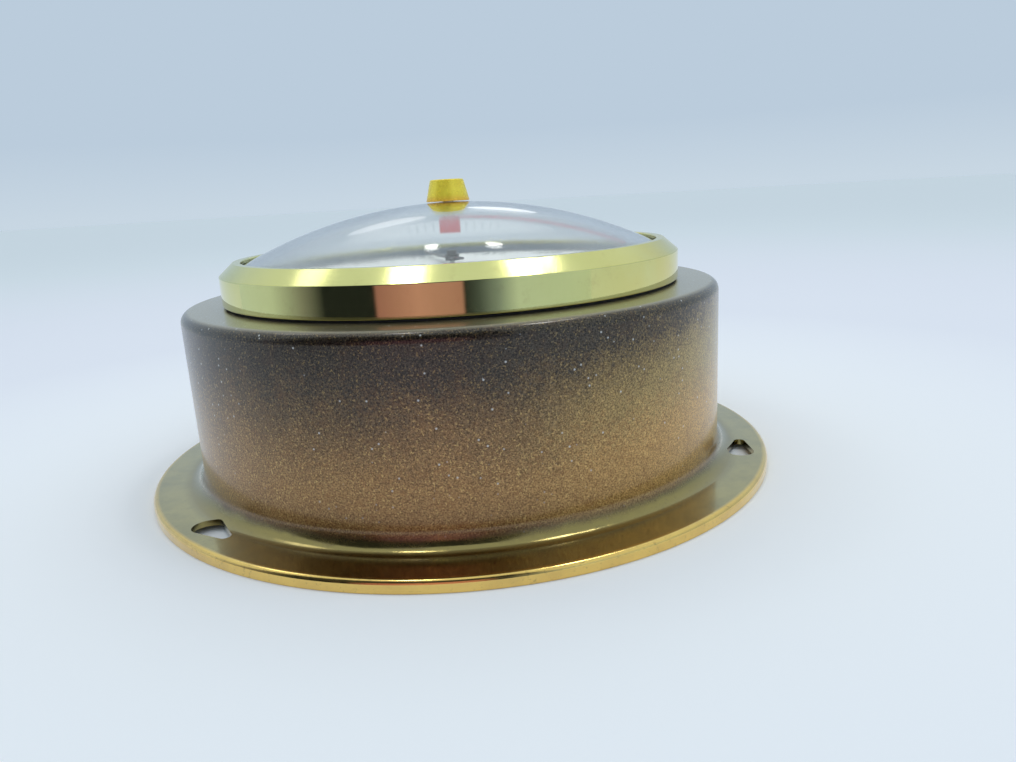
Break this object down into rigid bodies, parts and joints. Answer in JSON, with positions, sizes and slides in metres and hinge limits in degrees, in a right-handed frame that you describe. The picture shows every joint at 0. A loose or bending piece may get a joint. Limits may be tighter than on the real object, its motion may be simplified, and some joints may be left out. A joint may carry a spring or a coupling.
{
  "type": "pressure gauge",
  "caption": "Round wall pressure gauge of the ship's barometer kind: dark drum case on a bright flange, brass bezel, domed lens with a set knob, aneroid movement inside.",
  "frame": {"origin": "centre of the flange's back rim, on the wall plane", "axes": "+Z out of the wall along the hand's axis, +Y to twelve o'clock on the dial"},
  "size_m": [0.12, 0.12, 0.0545],
  "materials": {
    "polished_brass": "polished, lightly handled",
    "patinated_bronze": "dark brown patina with dust, its flange polished to bright brass",
    "clear_lens": "clear, polished",
    "white_dial": "matte white with a printed scale",
    "dark_ring": "matte blue-black",
    "black_rubber": "matte",
    "red_enamel": "gloss red",
    "black_enamel": "satin black",
    "steel": "brushed",
    "nickel": "satin",
    "tinplate": "satin"
  },
  "bodies": {
    "case": {"case_shell": "patinated_bronze", "case_gasket": "black_rubber", "lens_gasket": "black_rubber", "back_plate": "tinplate", "movement_can": "tinplate", "dome_lens": "clear_lens", "reveal_ring": "dark_ring", "dial": "white_dial", "capsule": "nickel", "bezel": "polished_brass", "lens_bush": "polished_brass", "base_plate": "polished_brass", "top_plate": "polished_brass", "arbor_cock": "polished_brass", "back_stud_1": "polished_brass", "back_stud_2": "polished_brass", "back_stud_3": "polished_brass", "back_screw_1": "polished_brass", "back_screw_2": "polished_brass", "back_screw_3": "polished_brass", "pillar_1": "polished_brass", "pillar_2": "polished_brass", "pillar_3": "polished_brass", "pivot_post_1": "polished_brass", "pivot_post_2": "polished_brass", "hairspring_stud": "polished_brass", "cock_screw": "steel", "base_screw_1": "steel", "base_screw_2": "steel", "base_screw_3": "steel", "pillar_screw_1": "steel", "pillar_screw_2": "steel", "pillar_screw_3": "steel", "spring_bridge": "steel", "mainspring": "steel", "bridge_screw_1": "steel", "bridge_screw_2": "steel", "spring_screw_1": "steel", "spring_screw_2": "steel", "hairspring": "steel"},
    "set_pointer": {"set_knob": "polished_brass", "set_stem": "nickel", "set_hub": "red_enamel", "set_hand": "red_enamel"},
    "hand": {"indicating_hand": "black_enamel", "hand_arbor": "steel", "chain_drum": "polished_brass"},
    "chain": {"chain": "steel"},
    "rocker": {"rocking_shaft": "steel", "rocker_crank": "polished_brass", "chain_arm": "polished_brass"},
    "link": {"link_wire": "steel"},
    "lever": {"regulating_arm": "polished_brass", "arm_screw": "steel"},
    "capsule_top": {"capsule_post": "steel", "knife_pin": "steel"},
    "adjuster": {"adjusting_screw": "steel"}
  },
  "joints": [
    {"name": "set_knob_turn", "type": "hinge", "parent": "case", "child": "set_pointer", "pos_m": [0, 0, 0.0524], "axis": [0, 0, 1], "continuous": true},
    {"name": "hand_turn", "type": "hinge", "parent": "case", "child": "hand", "pos_m": [0, 0, 0.0393], "axis": [0, 0, 1], "range_deg": [-153, 153]},
    {"name": "chain_pull", "type": "slide", "parent": "case", "child": "chain", "axis": [1, 0, 0], "range_m": [-0.0032, 0.0032]},
    {"name": "rocker_turn", "type": "hinge", "parent": "case", "child": "rocker", "pos_m": [0.024, 0, 0.022], "axis": [0, 1, 0], "range_deg": [-24.48, 24.48]},
    {"name": "link_lift", "type": "slide", "parent": "case", "child": "link", "axis": [0, 0, 1], "range_m": [-0.00107, 0.00107]},
    {"name": "lever_swing", "type": "hinge", "parent": "case", "child": "lever", "pos_m": [-0.024, -0.00525, 0.02455], "axis": [0, 1, 0], "range_deg": [-1.35, 1.35]},
    {"name": "capsule_breathe", "type": "slide", "parent": "case", "child": "capsule_top", "axis": [0, 0, 1], "range_m": [-0.00055, 0.00055], "stiffness_N_per_m": 20, "deforming": ["capsule", "mainspring"]},
    {"name": "adjuster_turn", "type": "hinge", "parent": "case", "child": "adjuster", "pos_m": [-0.0195, -0.01, 0.0074], "axis": [0, 0, 1], "range_deg": [-180, 180]}
  ],
  "couplings": [
    {"joint": "hand_turn", "follows": "capsule_breathe", "rad_per_m": 4739.6},
    {"joint": "rocker_turn", "follows": "capsule_breathe", "rad_per_m": 758.33},
    {"joint": "chain_pull", "follows": "capsule_breathe", "ratio": 5.6875},
    {"joint": "link_lift", "follows": "capsule_breathe", "ratio": 1.8958},
    {"joint": "lever_swing", "follows": "capsule_breathe", "rad_per_m": -41.667}
  ]
}
